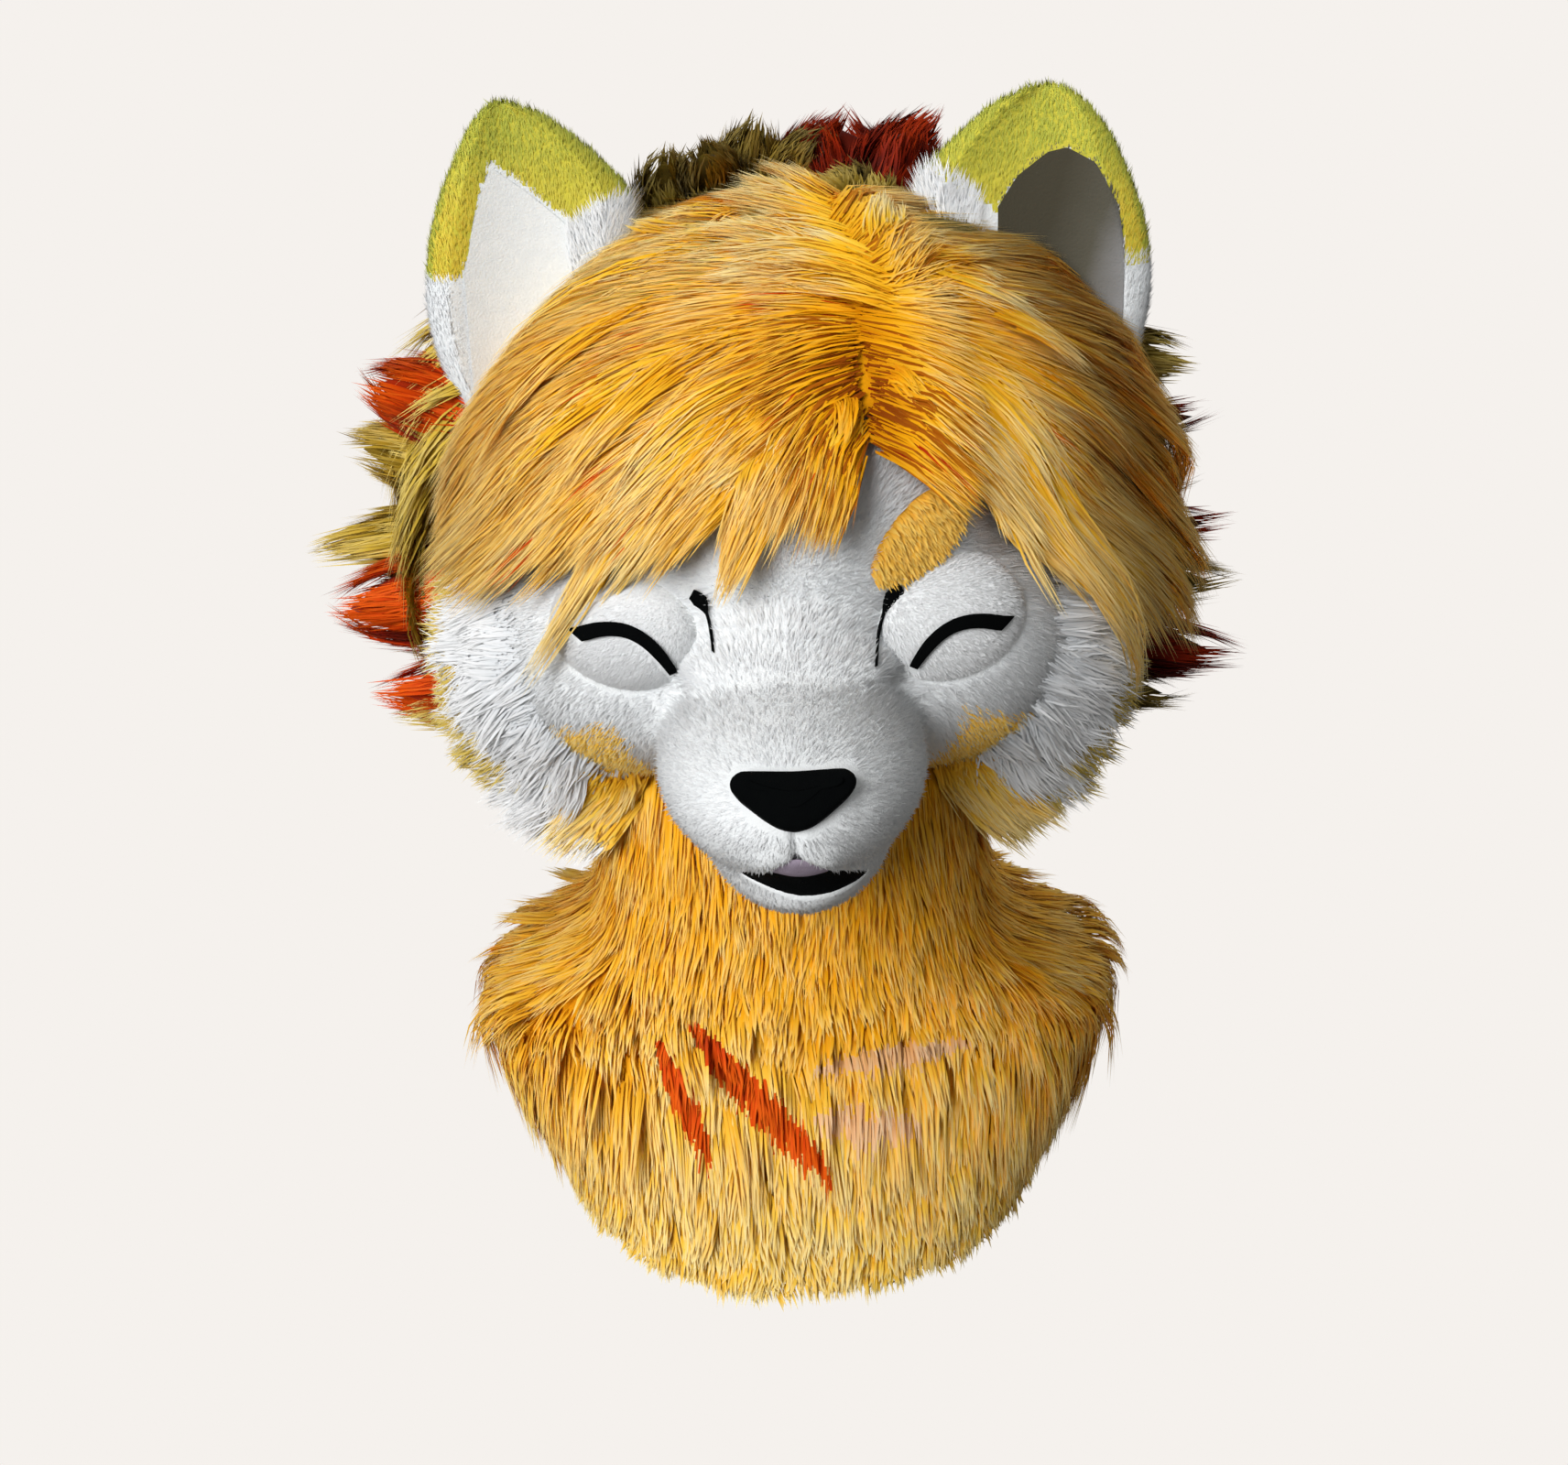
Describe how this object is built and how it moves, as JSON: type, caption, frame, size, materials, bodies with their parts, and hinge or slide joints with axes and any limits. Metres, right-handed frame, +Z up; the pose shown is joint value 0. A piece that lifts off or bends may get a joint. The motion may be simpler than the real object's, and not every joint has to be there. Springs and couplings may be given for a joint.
{
  "type": "fursuit head",
  "caption": "Canine costume head in foam and faux fur, hollow for the wearer's head, with ears, a wig, a mane and a fur bib.",
  "frame": {"origin": "the top of the inside of the hollow, where the head rests on the wearer's crown", "axes": "+Z up, the face towards -Y, +X to the right as seen from the front"},
  "size_m": [0.491, 0.4338, 0.579],
  "materials": {
    "white_plush": "short white plush",
    "eyelid_fleece": "white fleece over a pad",
    "ear_plush": "short plush, lime yellow at the tips and white below",
    "ear_fleece": "smooth white fleece",
    "wig_fur": "long combed golden fur with pale tips",
    "mane_fur": "long yellow fur in tufts",
    "red_fur": "long orange red fur in tufts",
    "cheek_fur": "long white fur",
    "bib_fur": "golden fur, combed down, with pale tips",
    "brow_fur": "short golden fur",
    "black_felt": "matte black fleece",
    "tongue_fleece": "pale pink fleece"
  },
  "bodies": {
    "root": {"head_shell": "white_plush", "mouth_lining": "black_felt", "tongue": "tongue_fleece", "nose": "black_felt", "eye_pad_left": "eyelid_fleece", "eye_pad_right": "eyelid_fleece", "eye_line_left": "black_felt", "eye_line_right": "black_felt", "eye_rim_left": "black_felt", "eye_rim_right": "black_felt", "brow_mark": "brow_fur", "ear_left": "ear_plush", "ear_right": "ear_plush", "ear_lining_left": "ear_fleece", "ear_lining_right": "ear_fleece", "bangs_left": "wig_fur", "bangs_right": "wig_fur", "cheek_fur_left": "cheek_fur", "cheek_fur_right": "cheek_fur", "mane": "mane_fur", "red_lock_left_top": "red_fur", "red_lock_left_middle": "red_fur", "red_lock_left_low": "red_fur", "red_lock_right_top": "red_fur", "red_lock_right_middle": "red_fur", "red_lock_right_low": "red_fur", "red_lock_crest_middle": "red_fur", "red_lock_crest_right": "red_fur", "bib": "bib_fur"}
  },
  "joints": []
}
